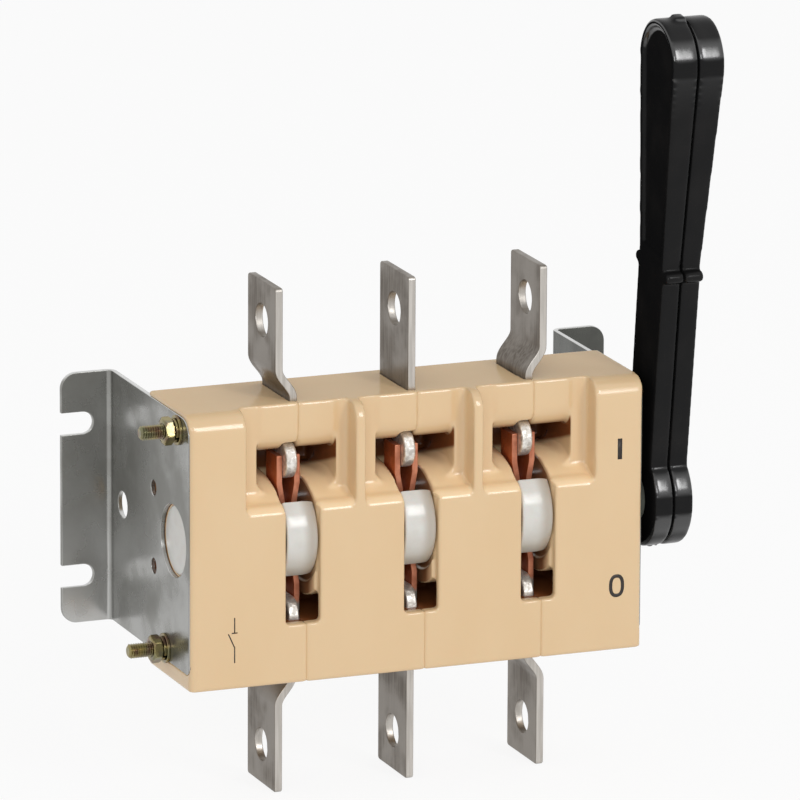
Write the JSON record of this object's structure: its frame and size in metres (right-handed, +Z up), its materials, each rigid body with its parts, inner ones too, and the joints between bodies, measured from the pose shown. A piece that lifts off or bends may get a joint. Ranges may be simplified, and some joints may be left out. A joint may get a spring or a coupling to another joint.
{
  "type": "switch disconnector",
  "caption": "Knife-type switch disconnector in a moulded housing on two sheet brackets, with bar terminals above and below and a long side handle.",
  "frame": {"origin": "on the wall face of the left bracket's flange, midway between its notches and level with the shaft", "axes": "+X along the poles to the handle's side, +Y to the wall, +Z up"},
  "size_m": [0.238, 0.1139, 0.3075],
  "materials": {
    "housing": "satin moulded",
    "terminal": "tinned",
    "bracket": "zinc plated",
    "fastener": "yellow zinc plated",
    "drum": "natural nylon",
    "knife": "bare copper",
    "spindle": "satin",
    "handle": "glossy moulded",
    "screw": "zinc plated"
  },
  "bodies": {
    "base": {"housing_left_end": "housing", "housing_middle_left": "housing", "housing_middle_right": "housing", "housing_right_end": "housing", "terminal_top_left": "terminal", "terminal_top_middle": "terminal", "terminal_top_right": "terminal", "terminal_bottom_left": "terminal", "terminal_bottom_middle": "terminal", "terminal_bottom_right": "terminal", "bracket_left": "bracket", "bracket_right": "bracket", "tie_bolt_upper": "fastener", "tie_bolt_lower": "fastener", "nut_upper": "fastener", "nut_lower": "fastener", "spring_washer_upper": "fastener", "spring_washer_lower": "fastener", "washer_upper": "fastener", "washer_lower": "fastener"},
    "rotor": {"drum_left": "drum", "drum_middle": "drum", "drum_right": "drum", "knife_left_a": "knife", "knife_left_b": "knife", "knife_middle_a": "knife", "knife_middle_b": "knife", "knife_right_a": "knife", "knife_right_b": "knife", "shaft_end_left": "drum", "shaft_link_left": "drum", "shaft_link_right": "drum", "shaft_end_right": "spindle", "handle": "handle", "handle_screw": "screw"}
  },
  "joints": [
    {"name": "shaft_turn", "type": "hinge", "parent": "base", "child": "rotor", "pos_m": [0.1067, -0.074, 0], "axis": [1, 0, 0], "range_deg": [0, 90]}
  ]
}
